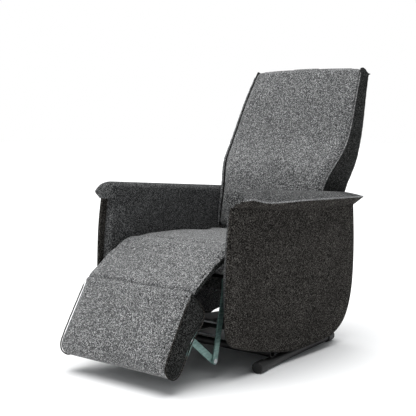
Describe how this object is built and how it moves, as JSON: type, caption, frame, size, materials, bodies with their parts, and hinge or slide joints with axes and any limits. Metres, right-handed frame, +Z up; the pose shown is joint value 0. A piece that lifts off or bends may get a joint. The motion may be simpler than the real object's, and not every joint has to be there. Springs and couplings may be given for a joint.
{
  "type": "recliner armchair",
  "caption": "Upholstered recliner armchair on floor runners, with reclining back, fold-out footrest with bridging pad, tilting seat unit and winged arm pads.",
  "frame": {"origin": "floor point under the centre of the chair as it stands half reclined", "axes": "+X across the chair to the sitter's left, +Y from front to rear, +Z up"},
  "size_m": [0.707, 1.231, 1.092],
  "materials": {
    "upholstery_light": "chunky two-tone weave, matt",
    "upholstery_dark": "chunky two-tone weave, matt",
    "lining": "black lining cloth",
    "plywood": "bare plywood",
    "frame_wood": "bare beech",
    "black_steel": "black powder coat",
    "black_plastic": "moulded, fine grain",
    "spring_steel": "drawn wire",
    "zinc": "zinc plated",
    "bush_plastic": "moulded nylon",
    "bright_rod": "ground and chromed",
    "mechanism_steel": "grey-green zinc and lacquer"
  },
  "bodies": {
    "base": {"base_runner_left": "black_steel", "base_runner_right": "black_steel", "runner_feet": "black_plastic", "base_cross_tube_front": "black_steel", "base_cross_tube_rear": "black_steel", "base_side_plate_left": "black_steel", "base_side_plate_right": "black_steel", "tilt_bolts": "zinc"},
    "footrest_bridge": {"bridge_pad": "upholstery_light"},
    "footrest": {"footrest_cushion": "upholstery_light", "footrest_board": "plywood", "footrest_bracket_left": "mechanism_steel", "footrest_bracket_right": "mechanism_steel"},
    "rear_straps": {"drive_tube": "mechanism_steel", "rear_strap_left": "mechanism_steel", "rear_strap_right": "mechanism_steel", "strap_cross_bar": "mechanism_steel", "strap_tie_rod": "mechanism_steel"},
    "front_straps": {"front_strap_left": "mechanism_steel", "front_strap_right": "mechanism_steel", "elbow_pins": "zinc", "slide_pins": "zinc"},
    "back": {"back_cushion": "upholstery_light", "back_rear_panel": "upholstery_dark", "back_side_panel_left": "upholstery_dark", "back_side_panel_right": "upholstery_dark", "back_upright_left": "frame_wood", "back_upright_right": "frame_wood", "back_top_rail": "frame_wood", "back_bottom_rail": "frame_wood", "back_springs": "spring_steel", "back_hinge_plate_left": "mechanism_steel", "back_hinge_plate_right": "mechanism_steel", "back_spring_lug": "mechanism_steel"},
    "gas_cylinder": {"gas_spring_cylinder": "black_steel"},
    "gas_rod": {"gas_spring_rod": "bright_rod"},
    "seat_unit": {"apron_clips": "zinc", "arm_bolts": "zinc", "arm_cover_left": "upholstery_light", "arm_cover_right": "upholstery_light", "arm_frame_left": "plywood", "arm_frame_right": "plywood", "arm_outer_panel_left": "upholstery_dark", "arm_outer_panel_right": "upholstery_dark", "arm_pad_left": "upholstery_light", "arm_pad_right": "upholstery_light", "back_hinge_pins": "zinc", "dust_cover": "lining", "front_apron": "lining", "gas_spring_beam": "mechanism_steel", "rear_lower_panel": "upholstery_dark", "seat_cushion": "upholstery_light", "seat_front_rail": "mechanism_steel", "seat_rear_rail": "mechanism_steel", "seat_side_plate_left": "mechanism_steel", "seat_side_plate_right": "mechanism_steel", "seat_spring_clips": "zinc", "seat_springs": "spring_steel", "tilt_bushes": "bush_plastic"}
  },
  "joints": [
    {"name": "seat_tilt", "type": "hinge", "parent": "base", "child": "seat_unit", "pos_m": [0, 0, 0.14], "axis": [-1, 0, 0], "range_deg": [-3, 5]},
    {"name": "back_recline", "type": "hinge", "parent": "seat_unit", "child": "back", "pos_m": [0, 0.34, 0.395], "axis": [-1, 0, 0], "range_deg": [-14, 20]},
    {"name": "footrest_fold", "type": "hinge", "parent": "footrest_bridge", "child": "footrest", "pos_m": [0, -0.478, 0.318], "axis": [-1, 0, 0], "range_deg": [-30, 45]},
    {"name": "bridge_lift", "type": "hinge", "parent": "seat_unit", "child": "footrest_bridge", "pos_m": [0, -0.3, 0.405], "axis": [-1, 0, 0], "range_deg": [-10.1, 15.1]},
    {"name": "rear_strap_swing", "type": "hinge", "parent": "seat_unit", "child": "rear_straps", "pos_m": [0, -0.285, 0.3], "axis": [-1, 0, 0], "range_deg": [-40, 60]},
    {"name": "front_strap_swing", "type": "hinge", "parent": "rear_straps", "child": "front_straps", "pos_m": [0, -0.339, 0.062], "axis": [-1, 0, 0], "range_deg": [-60, 40]},
    {"name": "gas_spring_pivot", "type": "hinge", "parent": "seat_unit", "child": "gas_cylinder", "pos_m": [0, 0.06, 0.215], "axis": [-1, 0, 0], "range_deg": [-4, 4]},
    {"name": "gas_spring_stroke", "type": "slide", "parent": "gas_cylinder", "child": "gas_rod", "axis": [0, 0.973, 0.2309], "range_m": [-0.045, 0.035]}
  ],
  "couplings": [
    {"joint": "bridge_lift", "follows": "footrest_fold", "ratio": 0.33333},
    {"joint": "rear_strap_swing", "follows": "footrest_fold", "ratio": 0.97684},
    {"joint": "front_strap_swing", "follows": "footrest_fold", "ratio": -0.93254},
    {"joint": "gas_spring_pivot", "follows": "back_recline", "ratio": -0.061535},
    {"joint": "gas_spring_stroke", "follows": "back_recline", "m_per_rad": -0.10809}
  ]
}
